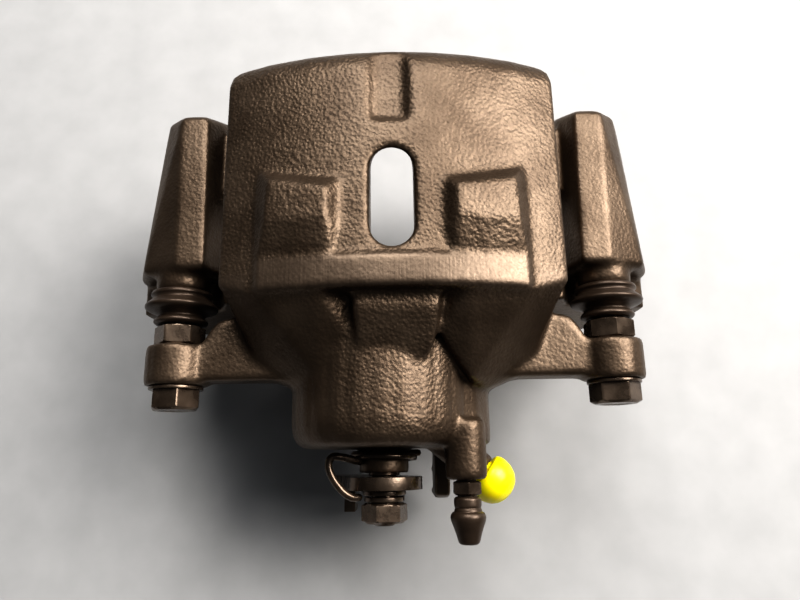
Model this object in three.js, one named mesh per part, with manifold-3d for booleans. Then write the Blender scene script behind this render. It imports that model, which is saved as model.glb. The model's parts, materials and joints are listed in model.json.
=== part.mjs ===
// Single-piston floating brake caliper with its mounting bracket and a parking-brake actuator.
// Millimetres, +Z up and away from the wheel axis, +Y outboard. The pieces are drawn about the point
// midway between the slide pins, in the middle plane of the disc, at the height of the piston bore.
// The assembly is then placed so that its origin is on the bracket's knuckle face, midway between
// the two bolt holes.
import * as THREE from 'three'
import { ConvexGeometry } from 'three/addons/geometries/ConvexGeometry.js'
import { mergeVertices } from 'three/addons/utils/BufferGeometryUtils.js'
import Module from 'manifold-3d'

const wasm = await Module()
wasm.setup()

// ---- driving dimensions ----
const GAP = 0.3                  // running clearance between pieces that move or are cut to fit
const DISC_AXIS_Z = -98          // wheel axis below the bore axis
const BRIDGE_R = 138             // outer surface of the bridge, about the wheel axis
const BRIDGE_INNER_R = 124       // underside of the bridge, clear of the disc
const BRIDGE_HALF = 53.2
const CREST_Y = -28              // inboard edge of the bridge
const FAR_Y = 53.7               // outboard edge of the bridge at its middle
const FAR_ROUND = 10
const FINGER_FACE_Y = 27         // inner face of the two fingers
const WINDOW_WIDTH = 13.4
const WINDOW_LENGTH = 31
const PAD_HEIGHT = 4.4           // raised pads on the bridge
const SHELF_HEIGHT = 1.4

const BORE_X = -4                // the piston sits a little off the middle
const BORE_R = 24
const CYLINDER_R = 30.2
const CYLINDER_FRONT_Y = -26
const CYLINDER_END_Y = -72
const PISTON_R = BORE_R - GAP
const PISTON_FRONT_Y = -26.5
const PISTON_BACK_Y = -52.8

const PIN_X = 70.6
const PIN_Z = 9
const PIN_R = 5.5
const PIN_BORE_R = PIN_R + 0.4
const EAR_NEAR_Y = -52
const EAR_FAR_Y = -39
const EAR_R = 10
const BOLT_FLATS = 14
const PIN_FLATS = 14
const BOLT_TURN = { left: 22, right: 13 }     // degrees, how far each bolt is done up
const PIN_TURN = { left: -17, right: 0 }

const SLOT_R = 121               // disc slot in the bracket
const SLOT_HALF = 13
const NECK_R = 8.5
const NECK_END_Y = -20.5
const COLUMN_NEAR_Y = -15.5
const COLUMN_FAR_Y = 43
const LUG_X = 58                 // knuckle bolt holes
const LUG_Z = -40
const LUG_R = 12
const KNUCKLE_FACE_Y = -27.5
const LUG_HOLE_R = 6.2

const SHAFT_R = 5
const SHAFT_BOSS_R = 8
const SHAFT_BOSS_Y = -80
const LEVER_BACK_Y = -81
const LEVER_THICK = 4
const LEVER_HUB_R = 12.3
const LEVER_REACH = 40
const NUT_FLATS = 13
const LEVER_REST = THREE.MathUtils.degToRad(-20)   // lean of the resting lever from straight down
const BALL_CIRCLE_R = 9
const BALL_R = 2.5
const BALL_Y = -62.3

const BLEED_X = 21.4
const BLEED_Z = 14
const BLEED_BOSS_Y = -82
const PORT_FACE = new THREE.Vector3(28.3, -80.05, -2)
const PORT_TURN = THREE.MathUtils.degToRad(230)    // turns the +Y axis to the hose port's axis

const FINE = 20                  // facets round a visible turned piece
const COARSE = 14                // facets round a hidden one
const RIM = 64                   // facets round the wheel axis
const AROUND = 28                // facets round the cylinder and piston

// ---- finishes ----
const paint = new THREE.MeshStandardMaterial({ color: 0x2b2622, roughness: 0.42, metalness: 0.35 })
const steel = new THREE.MeshStandardMaterial({ color: 0x8f9092, roughness: 0.35, metalness: 1 })
const darkSteel = new THREE.MeshStandardMaterial({ color: 0x231f1c, roughness: 0.4, metalness: 0.6 })
const rubber = new THREE.MeshStandardMaterial({ color: 0x151413, roughness: 0.6, metalness: 0 })
const yellow = new THREE.MeshStandardMaterial({ color: 0xffe800, roughness: 0.4, metalness: 0 })
const bronze = new THREE.MeshStandardMaterial({ color: 0xa87a3c, roughness: 0.4, metalness: 1 })

// ---- solids ----
function solid(geometry) {
  const bare = geometry.index ? geometry.toNonIndexed() : geometry.clone()
  bare.deleteAttribute('normal')
  bare.deleteAttribute('uv')
  const merged = mergeVertices(bare)
  const mesh = new wasm.Mesh({
    numProp: 3,
    vertProperties: new Float32Array(merged.attributes.position.array),
    triVerts: new Uint32Array(merged.index.array),
  })
  return new wasm.Manifold(mesh)
}

function piece(name, manifold, material, x = 0, z = 0) {
  const cut = manifold.getMesh()
  const geometry = new THREE.BufferGeometry()
  geometry.setAttribute('position', new THREE.BufferAttribute(cut.vertProperties, 3))
  geometry.setIndex(new THREE.BufferAttribute(cut.triVerts, 1))
  geometry.computeVertexNormals()
  const mesh = new THREE.Mesh(geometry, material)
  mesh.name = name
  mesh.position.set(x, 0, z)
  return mesh
}

// A solid of revolution about +Y. The profile is [radius, y], anticlockwise.
function turned(profile, segments = FINE, x = 0, z = 0) {
  const points = profile.map(([r, y]) => new THREE.Vector2(r, y))
  return solid(new THREE.LatheGeometry(points, segments).translate(x, 0, z))
}

function rod(radius, y0, y1, segments = FINE, x = 0, z = 0) {
  return turned([[0, y0], [radius, y0], [radius, y1], [0, y1]], segments, x, z)
}

function ring(inner, outer, y0, y1, segments = FINE, x = 0, z = 0) {
  const profile = [[inner, y0], [outer, y0], [outer, y1], [inner, y1], [inner, y0]]
  return turned(profile, segments, x, z)
}

function outline(points) {
  return points instanceof THREE.Shape
    ? points
    : new THREE.Shape(points.map(([a, b]) => new THREE.Vector2(a, b)))
}

function extrude(points, depth) {
  const options = { depth, bevelEnabled: false, curveSegments: 8 }
  return new THREE.ExtrudeGeometry(outline(points), options)
}

// Prisms along one axis. The outline is in the other two: [x, z], [x, y] or [y, z].
function prismY(points, y0, y1) {
  return solid(extrude(points, y1 - y0).rotateX(Math.PI / 2).translate(0, y1, 0))
}

function prismZ(points, z0, z1) {
  return solid(extrude(points, z1 - z0).translate(0, 0, z0))
}

function prismX(points, x0, x1) {
  const turn = new THREE.Matrix4().makeBasis(
    new THREE.Vector3(0, 1, 0),
    new THREE.Vector3(0, 0, 1),
    new THREE.Vector3(1, 0, 0),
  )
  return solid(extrude(points, x1 - x0).applyMatrix4(turn).translate(x0, 0, 0))
}

function block(x0, x1, y0, y1, z0, z1) {
  const box = new THREE.BoxGeometry(x1 - x0, y1 - y0, z1 - z0)
  return solid(box.translate((x0 + x1) / 2, (y0 + y1) / 2, (z0 + z1) / 2))
}

// The tightest convex solid round some points. side is 1 or -1 and mirrors them left to right.
function hull(points, side = 1) {
  return solid(new ConvexGeometry(points.map(([x, y, z]) => new THREE.Vector3(x * side, y, z))))
}

// A hexagonal bar. turn swings its corners from +Z towards +X, in degrees.
function hexagon(flats, y0, y1, turn = 0) {
  const corner = flats / Math.sqrt(3)
  const angle = THREE.MathUtils.degToRad(turn)
  const points = [[0, y0], [corner, y0], [corner, y1], [0, y1]].map(([r, y]) => new THREE.Vector2(r, y))
  return solid(new THREE.LatheGeometry(points, 6, angle))
}

function mirrored(points) {
  return [...points, ...points.map(([x, b]) => [-x, b]).reverse()]
}

function arcHeight(radius, x) {
  return DISC_AXIS_Z + Math.sqrt(radius * radius - x * x)
}

// A round wire along a curve through the points.
function wire(points, radius, steps, sides) {
  const path = new THREE.CatmullRomCurve3(points.map((p) => new THREE.Vector3(...p)), false, 'centripetal')
  const round = new THREE.Shape()
  round.absarc(0, 0, radius, 0, 2 * Math.PI, false)
  const options = { steps, extrudePath: path, bevelEnabled: false, curveSegments: sides }
  return solid(new THREE.ExtrudeGeometry(round, options))
}

function helix(radius, y0, y1, start, turns, stepsPerTurn = 12) {
  const count = Math.round(Math.abs(turns) * stepsPerTurn)
  return Array.from({ length: count + 1 }, (_, i) => {
    const t = i / count
    const angle = start + 2 * Math.PI * turns * t
    return [radius * Math.cos(angle), y0 + (y1 - y0) * t, radius * Math.sin(angle)]
  })
}

// ---- caliper body ----
const FAR_CORNER_Y = 50.3
const FAR_PLAN_R = 400           // bow of the outboard edge, seen from above

function bridge() {
  const rounding = Array.from({ length: 6 }, (_, i) => {
    const a = (i / 5) * Math.PI / 2
    return [
      BRIDGE_R - FAR_ROUND * (1 - Math.cos(a)),
      FAR_Y - FAR_ROUND * (1 - Math.sin(a)),
    ]
  })
  const top = turned([[0, CREST_Y], [BRIDGE_R, CREST_Y], ...rounding, [0, FAR_Y]], RIM, 0, DISC_AXIS_Z)
  return top.intersect(bridgePlan()).intersect(bridgeFront()).intersect(fingerDraft())
}

function bridgePlan() {
  const plan = new THREE.Shape()
  const cut = 3.4                // the crest corners are cut back
  const corner = 6
  const bow = Math.asin((BRIDGE_HALF - corner) / FAR_PLAN_R)
  plan.moveTo(-41, CREST_Y - 0.5)
  plan.lineTo(41, CREST_Y - 0.5)
  plan.lineTo(BRIDGE_HALF, CREST_Y + cut)
  plan.lineTo(BRIDGE_HALF, FAR_CORNER_Y - corner)
  plan.quadraticCurveTo(BRIDGE_HALF, FAR_CORNER_Y, BRIDGE_HALF - corner, FAR_CORNER_Y + 0.9)
  plan.absarc(0, FAR_Y - FAR_PLAN_R + 0.3, FAR_PLAN_R, Math.PI / 2 - bow, Math.PI / 2 + bow, false)
  plan.lineTo(-BRIDGE_HALF + corner, FAR_CORNER_Y + 0.9)
  plan.quadraticCurveTo(-BRIDGE_HALF, FAR_CORNER_Y, -BRIDGE_HALF, FAR_CORNER_Y - corner)
  plan.lineTo(-BRIDGE_HALF, CREST_Y + cut)
  return prismZ(plan, -40, 50)
}

function bridgeFront() {
  const right = [[29, -25], [34.5, -23], [37, -17], [39, -6], [43, 6], [BRIDGE_HALF, 13], [BRIDGE_HALF, 50]]
  return prismY(mirrored(right), CREST_Y - 1, FAR_Y + 1)
}

// The outer faces of the fingers lean in towards their tips.
function fingerDraft() {
  return prismX([[-30, 50], [-30, -30], [44.5, -30], [48, 0], [54, 24], [54, 50]], -60, 60)
}

// A raised pad between the middle channel and each outer strip. It steps down to a shelf.
function bridgePad(side) {
  const top = BRIDGE_R + PAD_HEIGHT
  const shelf = BRIDGE_R + SHELF_HEIGHT
  const profile = [
    [120, CREST_Y], [shelf, CREST_Y], [shelf, -17.8], [top, -7.6], [top, 16], [120, 16], [120, CREST_Y],
  ]
  const pad = turned(profile, RIM, 0, DISC_AXIS_Z)
  const low = 30
  const high = 46
  const limits = hull([
    [6.8, 15, low], [43.5, 15, low], [43.5, -28.5, low], [17, -28.5, low], [6.8, -8, low],
    [22, -0.6, high], [33, -0.6, high], [34, -28.5, high], [27, -28.5, high], [22, -12, high],
  ], side)
  return pad.intersect(limits)
}

// A low ground strip along the crest, between the two pads.
function crestStrip() {
  const strip = ring(120, BRIDGE_R + SHELF_HEIGHT, CREST_Y, -18.2, RIM, 0, DISC_AXIS_Z)
  return strip.intersect(prismZ([[-24, -29], [24, -29], [21, -17], [-21, -17]], 20, 45))
}

// The inspection window. Its outboard wall slopes outwards on the way down.
function windowHole() {
  const r = WINDOW_WIDTH / 2
  const run = WINDOW_LENGTH / 2 - r
  const halfRing = (z, y, start) => Array.from({ length: 9 }, (_, i) => {
    const a = start + (i / 8) * Math.PI
    return [r * Math.cos(a), y + r * Math.sin(a), z]
  })
  const slope = 0.55
  const ends = [[15, run + 25 * slope], [50, run - 10 * slope]]
  return hull(ends.flatMap(([z, far]) => [...halfRing(z, far, 0), ...halfRing(z, -run, Math.PI)]))
}

// A shallow tapered recess, open to the outboard edge.
function topRecess() {
  const floor = BRIDGE_R - 2.5 + DISC_AXIS_Z
  return hull([
    [-7.2, 23.6, 41], [6.9, 23.6, 41], [-7.2, 60, 41], [6.9, 60, 41],
    [-5.6, 26.8, floor], [4.1, 26.8, floor], [-5.6, 60, floor], [4.1, 60, floor],
  ])
}

function fingerNotch() {
  const r = 14.5
  const crown = 6.5              // height of the arch's centre
  const notch = new THREE.Shape()
  notch.moveTo(-r, -30)
  notch.lineTo(r, -30)
  notch.lineTo(r, crown)
  notch.absarc(0, crown, r, 0, Math.PI, false)
  return prismY(notch, FINGER_FACE_Y - 2, FAR_Y + 2)
}

// The sloped shoulder that carries the bridge load down to the cylinder and the arm.
function shoulder(side) {
  const crest = (x) => arcHeight(BRIDGE_R, x) - 0.4
  return hull([
    [22.4, CREST_Y + 0.2, crest(22.4)], [41, CREST_Y - 0.2, crest(41)], [52.6, -24.6, crest(52.6)],
    [42, -49.5, 11], [29, -54.5, 12], [22.8, -52.4, 20.5], [13.6, -40, 28.2], [13.4, CREST_Y + 0.2, 30.6],
    [13.4, -25, 28], [22.4, -25, crest(24)], [52.6, -24.2, 14.6],
    [50, -30.6, 3], [30, -30.6, -8], [42, -49.5, 3], [29, -54.5, -5],
  ], side)
}

// The stepped block on the cylinder's crown, under the crest.
function crownBlock() {
  return hull([
    [-12.3, -25, 35.4], [14.1, -25, 35.4], [-11.7, -32.8, 35.4], [13.5, -32.8, 35.4],
    [-10.4, -46.4, 28.6], [11.2, -46.4, 28.6], [-12.6, -25, 25], [14.2, -25, 25],
    [-12.4, -33, 29], [14.1, -33, 29],
  ])
}

function arm(side) {
  const plan = [
    [28, -52], [40, -50.8], [66, -50.8], [68, -40.5], [62.2, -39.2],
    [59.8, -35.2], [57.2, -31.6], [54, -30.6], [28, -30.6],
  ]
  const web = prismZ(plan.map(([x, y]) => [x * side, y]), 3, 14.6)
  return web.add(rod(EAR_R, EAR_NEAR_Y, EAR_FAR_Y, FINE, PIN_X * side, PIN_Z))
}

function cylinderCasting() {
  const casting = turned([
    [0, CYLINDER_END_Y], [25.4, CYLINDER_END_Y], [28, CYLINDER_END_Y + 1.1], [29.5, CYLINDER_END_Y + 3.3],
    [CYLINDER_R, CYLINDER_END_Y + 6.5], [CYLINDER_R, CYLINDER_FRONT_Y], [0, CYLINDER_FRONT_Y],
  ], AROUND, BORE_X, 0)
  const gallery = [
    [14, 19], [20.5, 17.2], [25.6, 13], [29.6, 6.5], [31.2, 0], [31.2, -5], [27, -12], [14, -16],
  ]
  return casting.add(prismY(gallery, CYLINDER_END_Y + 0.8, -46))
}

// Along the hose port's axis, with y = 0 on the port's face.
function alongPort(profile, segments = FINE) {
  const points = profile.map(([r, y]) => new THREE.Vector2(r, y))
  const lathe = new THREE.LatheGeometry(points, segments).rotateZ(PORT_TURN)
  return solid(lathe.translate(PORT_FACE.x, PORT_FACE.y, PORT_FACE.z))
}

function endBosses() {
  const shaftBoss = rod(SHAFT_BOSS_R, SHAFT_BOSS_Y, CYLINDER_END_Y + 2, FINE, BORE_X, 0)
  const bleedBoss = rod(6.3, BLEED_BOSS_Y, CYLINDER_END_Y + 8, FINE, BLEED_X, BLEED_Z)
  const portBoss = alongPort([[0, -19], [5.8, -19], [5.8, 0], [0, 0]])
  return shaftBoss.add(bleedBoss).add(portBoss).add(cableStop())
}

// The cast lug that stops the lever's cable sheath and holds the fixed end of the return spring.
const STOP_X0 = 13
const STOP_X1 = 18.4
function cableStop() {
  const side = [[-68, -9], [-78, -10], [-88, -14], [-89, -20], [-89, -44], [-78, -44], [-77, -30], [-68, -24]]
  const lug = prismX(side, STOP_X0, STOP_X1)
  return lug.subtract(block(STOP_X0 - 1, STOP_X1 + 1, -85.8, -80.6, -50, -31))
}

// All the bores of the closed cylinder, stepped from the piston bore to the shaft hole.
const BOOT_SEAT_R = 28
const CUP_BORE_R = 19.5
const RAMP_POCKET_R = 14.5
const SHAFT_HOLE_R = 6.8
function bores() {
  const main = turned([
    [0, -81], [SHAFT_HOLE_R, -81], [SHAFT_HOLE_R, -67], [RAMP_POCKET_R, -67], [RAMP_POCKET_R, -61],
    [CUP_BORE_R, -61], [CUP_BORE_R, -54.9], [21.2, -54.9], [21.2, -53.4], [CUP_BORE_R, -53.4],
    [CUP_BORE_R, -53.1], [BORE_R, -53.1], [BORE_R, -34.4], [BORE_R + 2.9, -34.4], [BORE_R + 2.9, -31.2],
    [BORE_R, -31.2], [BORE_R, -30], [BOOT_SEAT_R, -30], [BOOT_SEAT_R, -20], [0, -20],
  ], AROUND, BORE_X, 0)
  const bleedHole = rod(3.6, BLEED_BOSS_Y - 1, -66, 16, BLEED_X, BLEED_Z)
  const bleedDuct = rod(1.5, -66.5, -48, 12, BLEED_X - 1.2, BLEED_Z - 0.6)
  const port = alongPort([[0, -12], [2, -12], [4.6, -10], [4.6, 1], [0, 1]], COARSE)
  return main.add(bleedHole).add(bleedDuct).add(port)
}

function caliperBody() {
  let body = bridge()
  body = body.subtract(rod(BRIDGE_INNER_R, CREST_Y - 2, FINGER_FACE_Y, RIM, 0, DISC_AXIS_Z))
  body = body.subtract(fingerNotch())
  for (const side of [-1, 1]) {
    body = body.add(shoulder(side)).add(arm(side)).add(bridgePad(side))
  }
  body = body.add(crestStrip()).add(crownBlock()).add(cylinderCasting()).add(endBosses())
  const underside = rod(BRIDGE_INNER_R, CYLINDER_FRONT_Y + 1.5, FINGER_FACE_Y, RIM, 0, DISC_AXIS_Z)
  body = body.subtract(underside).subtract(windowHole()).subtract(topRecess()).subtract(bores())
  for (const side of [-1, 1]) {
    body = body.subtract(rod(4.2, EAR_NEAR_Y - 1, EAR_FAR_Y + 1, COARSE, PIN_X * side, PIN_Z))
  }
  for (const angle of ANTI_TURN_ANGLES) {
    const [x, z] = antiTurnPlace(angle)
    body = body.subtract(rod(1.6, -64.5, -60, 12, x, z))
  }
  return body
}

// ---- mounting bracket ----
function column(side) {
  const section = (y, out, lean, inset, slant = 0) => [
    [58 + inset, y + slant, 8], [61.2 + lean + inset, y, 19.5 - inset], [70 + lean - inset, y, 19.5 - inset],
    [78 + out - inset, y + slant / 2, 13 - inset], [83 + out - inset, y + slant, 2],
    [83.5 + out - inset, y + slant, -12], [58 + inset, y + slant, -12],
  ]
  return hull([
    ...section(COLUMN_NEAR_Y, 4.6, 0, 1), ...section(COLUMN_NEAR_Y + 1.2, 5, 0, 0),
    ...section(COLUMN_FAR_Y - 4.5, 0, 1.6, 0, 3), ...section(COLUMN_FAR_Y - 3, -0.5, 1.6, 1.2, 3),
  ], side)
}

function inboardPlate() {
  const outer = [[0, -57], [36, -57], [52, -55], [68, -51], [80, -38], [88.5, -16],
    [88.5, -4], [80, 1], [60, 1], [56.5, 10.5], [52.4, 10.5], [52.4, 3], [46, 3]]
  const inner = [[46, -22], [37, -34], [16, -37.5], [0, -37.5]]
  const outlineRight = [...outer, ...inner]
  return [-1, 1].map((side) => prismY(outlineRight.map(([x, z]) => [x * side, z]), -25, -SLOT_HALF))
}

// The machined band between the knuckle bolt holes stands level with their bosses.
function knuckleFace() {
  const right = [
    [0, -56.9], [35, -56.9], [52, -54], [LUG_X, -50], [LUG_X, -31], [47, -31],
    [37, -36.5], [16, -37.6], [0, -37.6],
  ]
  const left = right.slice(1, -1).map(([x, z]) => [-x, z]).reverse()
  return prismY([...right, ...left], KNUCKLE_FACE_Y, -SLOT_HALF)
}

function outboardArm(side) {
  const profile = [[46, 8], [57, 12], [84, 0], [83, -12], [66, -17], [60, -33], [52, -38], [46, -34]]
  return prismY(profile.map(([x, z]) => [x * side, z]), SLOT_HALF, 37)
}

// The neck that the pin runs in, with the spigot that the rubber boot grips.
function neck(side) {
  return turned([
    [0, -24], [6.9, -24], [6.9, NECK_END_Y], [NECK_R, NECK_END_Y], [NECK_R, -4], [0, -4],
  ], FINE, PIN_X * side, PIN_Z)
}

function mountingBracket() {
  const [left, right] = inboardPlate()
  let bracket = left.add(right).add(knuckleFace())
  for (const side of [-1, 1]) {
    bracket = bracket.add(rod(LUG_R, KNUCKLE_FACE_Y, -SLOT_HALF, FINE, LUG_X * side, LUG_Z))
    bracket = bracket.subtract(rod(12.6, -30, NECK_END_Y, FINE, PIN_X * side, PIN_Z))
    bracket = bracket.add(column(side)).add(outboardArm(side))
  }
  bracket = bracket.subtract(rod(SLOT_R, -SLOT_HALF, SLOT_HALF, RIM, 0, DISC_AXIS_Z))
  for (const side of [-1, 1]) {
    bracket = bracket.add(neck(side))
    bracket = bracket.subtract(rod(PIN_BORE_R, -25, 33, COARSE, PIN_X * side, PIN_Z))
    bracket = bracket.subtract(rod(LUG_HOLE_R, -29, -SLOT_HALF + 1, COARSE, LUG_X * side, LUG_Z))
    bracket = bracket.subtract(hull([
      [40, -30, -6], [51, -30, -6], [40, -30, 5], [51, -30, 5],
      [40, 40, -6], [51, 40, -6], [40, 40, 5], [51, 40, 5],
    ], side))
  }
  return bracket
}

// ---- slide pins, bolts and boots, each along its own axis ----
function slidePin(withBushSeat, turn) {
  const tip = withBushSeat
    ? [[PIN_R, 17], [4.4, 17], [4.4, 25.5], [PIN_R, 25.5], [PIN_R, 27], [4.5, 28]]
    : [[PIN_R, 27], [4.5, 28]]
  const shank = turned([
    [0, -33], [5, -33], [5, -29.4], [PIN_R, -28.8], [PIN_R, -6], [5.1, -5.6], [5.1, 1.6], [PIN_R, 2],
    ...tip, [0, 28],
  ], COARSE)
  const bolthole = rod(3.9, -40, -20, COARSE)
  return shank.add(hexagon(PIN_FLATS, EAR_FAR_Y + 0.1, -32.3, turn)).subtract(bolthole)
}

function pinBush() {
  return turned([
    [4.7, 17.3], [5.4, 17.3], [5.6, 18.3], [5.6, 24.2], [5.4, 25.2], [4.7, 25.2], [4.7, 17.3],
  ], COARSE)
}

function pinBolt(turn) {
  const shank = turned([
    [0, -53.4], [8.5, -53.4], [8.5, -52.1], [3.6, -52.1], [3.6, -21.5], [3, -20.8], [0, -20.8],
  ], COARSE)
  const head = hexagon(BOLT_FLATS, -59.2, -53.2, turn)
  const crown = turned([[0, -59.6], [6.2, -59.6], [7, -59], [7, -54], [0, -54]], COARSE)
  return shank.add(head).add(crown)
}

// A rubber bellows from the groove in the pin to the spigot on the bracket.
function pinBoot() {
  return turned([
    [5.3, -32], [7.6, -32], [8.6, -31.2], [8.4, -30.2], [7.5, -29.4], [7.6, -28.6], [9.4, -27.6],
    [11.5, -26.7], [11.5, -25.4], [9.9, -23.9], [9.3, -23], [9.9, -22.2], [9.7, -20.8], [7.2, -20.8],
    [7.2, -24.3], [9, -25.7], [8.8, -26.4], [6.4, -27.8], [5.9, -29.4], [5.3, -29.8], [5.3, -32],
  ])
}

// ---- piston and its seals, along the bore axis ----
function piston() {
  const turnedPiston = turned([
    [12, PISTON_FRONT_Y - 1.5], [12, PISTON_FRONT_Y - 5.5], [12.3, -33], [12.3, -39], [13.3, -39],
    [13.3, -40.2],
    [12.3, -40.2], [12.3, -40.9], [19, -40.9], [19, PISTON_BACK_Y], [22.8, PISTON_BACK_Y], [PISTON_R, -51.9],
    [PISTON_R, -30.6], [22, -30.2], [22, -28], [23, -27.6], [23, PISTON_FRONT_Y], [17, PISTON_FRONT_Y],
    [16, PISTON_FRONT_Y - 1.5], [12, PISTON_FRONT_Y - 1.5],
  ], AROUND)
  const floor = rod(12.6, -32, PISTON_FRONT_Y - 1.5, AROUND)
  let whole = turnedPiston.add(floor)
  for (const [x, z] of [[1, 0], [0, 1]]) {
    const reach = 26
    const half = 2.2
    const cross = block(
      -(x ? reach : half), x ? reach : half, PISTON_FRONT_Y - 1.6, PISTON_FRONT_Y + 1,
      -(z ? reach : half), z ? reach : half,
    )
    whole = whole.subtract(cross)
  }
  return whole
}

function pistonSeal() {
  return ring(BORE_R, BORE_R + 2.6, -34.1, -31.5, AROUND)
}

function pistonBoot() {
  return turned([
    [22.3, -29.6], [23.4, -29.4], [24.4, -28], [25.4, -29.4], [27.6, -29.7], [27.6, -28.3], [26.2, -28],
    [25.2, -26.6], [23.9, -26.6], [23.2, -28], [22.3, -28.2], [22.3, -29.6],
  ], AROUND)
}

function bootRetainingRing() {
  return ring(26.6, 27.7, -27.9, -26.7, AROUND)
}

// ---- automatic adjuster, inside the piston ----
function adjusterNut() {
  const body = turned([[0, -39.4], [7.4, -39.4], [7.4, -35.4], [10.6, -35.4], [10.6, -34], [0, -34]], COARSE)
  return body.subtract(rod(4.8, -41, -33, COARSE))
}

function adjusterBearing() {
  return ring(5.4, 10.6, -33.7, -33, COARSE)
}

function clutchSpring() {
  const points = helix(9, -38.5, -36.1, 0, 2)
  return wire(points, 0.4, 26, 3)
}

function pistonCirclip() {
  return ring(9.9, 12.9, -40, -39.2, COARSE).subtract(ringGap(16, 5))
}

// A wedge that opens a ring on its +X side.
function ringGap(reach, half) {
  const wedge = [[0, -2], [0, 2], [reach, half], [reach, -half]]
  return prismY(wedge, -60, -30)
}

// ---- ball-and-ramp actuator ----
const ANTI_TURN_ANGLES = [0, Math.PI]
const ANTI_TURN_R = 16.6
function antiTurnPlace(angle) {
  return [BORE_X + ANTI_TURN_R * Math.cos(angle), ANTI_TURN_R * Math.sin(angle)]
}

const BALL_ANGLES = [90, 210, 330].map(THREE.MathUtils.degToRad)
const BALL_TRAVEL = THREE.MathUtils.degToRad(13)
const GROOVE_MARGIN = THREE.MathUtils.degToRad(20)

// A groove for one ball, along an arc of the ball circle. Its depth changes by slope along the arc.
function ballGroove(rest, slope) {
  const steps = 6
  const start = rest - GROOVE_MARGIN
  const sweep = BALL_TRAVEL + 2 * GROOVE_MARGIN
  const points = Array.from({ length: steps + 1 }, (_, i) => {
    const angle = start + sweep * i / steps
    const depth = slope * (0.5 - i / steps)
    return [BALL_CIRCLE_R * Math.cos(angle), BALL_Y + depth, BALL_CIRCLE_R * Math.sin(angle)]
  })
  return wire(points, BALL_R + 0.45, 5, 4)
}

function leverShaft() {
  const shaft = turned([
    [0, -96], [3.3, -96], [4, -95.3], [4, -80.6], [SHAFT_R, -80.6], [SHAFT_R, -66.7],
    [13.6, -66.7], [13.6, -63.1], [0, -63.1],
  ], COARSE)
  return BALL_ANGLES.reduce((plate, angle) => plate.subtract(ballGroove(angle - BALL_TRAVEL, 0)), shaft)
}

function rampBall(angle) {
  const ball = new THREE.IcosahedronGeometry(BALL_R, 2)
  return solid(ball.translate(BALL_CIRCLE_R * Math.cos(angle), BALL_Y, BALL_CIRCLE_R * Math.sin(angle)))
}

function ballCage() {
  let cage = ring(5.5, 12.6, -62.5, -61.7, FINE)
  for (const angle of BALL_ANGLES) {
    const x = BALL_CIRCLE_R * Math.cos(angle)
    const z = BALL_CIRCLE_R * Math.sin(angle)
    cage = cage.subtract(rod(BALL_R + GAP, -64, -60, 16, x, z))
  }
  return cage
}

function pushRod() {
  const plan = new THREE.Shape()
  plan.absarc(0, 0, 13, 0, 2 * Math.PI, false)
  const ear = [[-18, -4.6], [18, -4.6], [18, 4.6], [-18, 4.6]]
  let rodPlate = prismY(plan, -60.9, -57.7).add(prismY(ear, -60.9, -57.7))
  for (const angle of ANTI_TURN_ANGLES) {
    const x = ANTI_TURN_R * Math.cos(angle)
    rodPlate = rodPlate.subtract(rod(1.5 + GAP, -62, -56, 12, x, 0))
  }
  for (const angle of BALL_ANGLES) {
    rodPlate = rodPlate.subtract(ballGroove(angle, 0.6))
  }
  const thread = Array.from({ length: 4 }, (_, i) => {
    const y = -50 + i * 3.6
    return [[4.5, y], [4.1, y + 0.4], [4.1, y + 0.9], [4.5, y + 1.3]]
  }).flat()
  const stem = turned([[0, -58.5], [4.5, -58.5], ...thread, [4.5, -34.5], [3.8, -33.8], [0, -33.8]], COARSE)
  return rodPlate.add(stem)
}

function antiTurnPin() {
  return rod(1.4, -64.2, -56.2, 12)
}

function springCup() {
  return turned([
    [6.6, -42], [16.2, -42], [16.2, -55.9], [19.1, -55.9], [19.1, -55.1], [17, -55.1],
    [17, -41.2], [6.6, -41.2], [6.6, -42],
  ], FINE)
}

function cupCirclip() {
  return ring(17.4, 20.8, -54.8, -53.5, FINE).subtract(ringGap(24, 6))
}

function adjusterSpring() {
  return wire(helix(12, -56.4, -43.6, 0, 4), 1.1, 52, 3)
}

function shaftBush() {
  return ring(SHAFT_R + GAP, SHAFT_HOLE_R - 0.2, -79.4, -70.2, COARSE)
}

function shaftSeal() {
  return turned([
    [SHAFT_R + 0.2, -69.6], [SHAFT_HOLE_R - 0.2, -69.6], [SHAFT_HOLE_R - 0.2, -67.8],
    [SHAFT_R + 0.6, -67.8], [SHAFT_R + 0.2, -69.6],
  ], COARSE)
}

// ---- lever and what holds it ----
function parkingLever() {
  const tip = new THREE.Vector2(Math.sin(LEVER_REST), -Math.cos(LEVER_REST)).multiplyScalar(LEVER_REACH)
  const tipR = 6.5
  const lean = Math.asin((LEVER_HUB_R - tipR) / LEVER_REACH)
  const across = LEVER_REST
  const plate = new THREE.Shape()
  plate.absarc(0, 0, LEVER_HUB_R, across + lean, across + Math.PI - lean, false)
  plate.absarc(tip.x, tip.y, tipR, across + Math.PI - lean, across + lean, false)
  const front = LEVER_BACK_Y
  const back = LEVER_BACK_Y - LEVER_THICK
  let lever = prismY(plate, back, front).subtract(rod(4.3, back - 1, front + 1, COARSE))
  const fork = hull([
    [tip.x - 2, back - 9, tip.y - 7], [tip.x + 2, back - 9, tip.y - 7],
    [tip.x - 2, back - 9, tip.y + 7], [tip.x + 2, back - 9, tip.y + 7],
    [tip.x - 2, front - 1, tip.y - 5], [tip.x + 2, front - 1, tip.y - 5],
    [tip.x - 2, front - 1, tip.y + 5], [tip.x + 2, front - 1, tip.y + 5],
  ])
  lever = lever.add(fork)
  return lever.subtract(block(tip.x - 5, tip.x + 5, back - 7, back - 2.4, tip.y - 12, tip.y + 1.5))
}

function leverWasher() {
  return ring(4.3, 7, -86.7, -85.3, COARSE)
}

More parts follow.
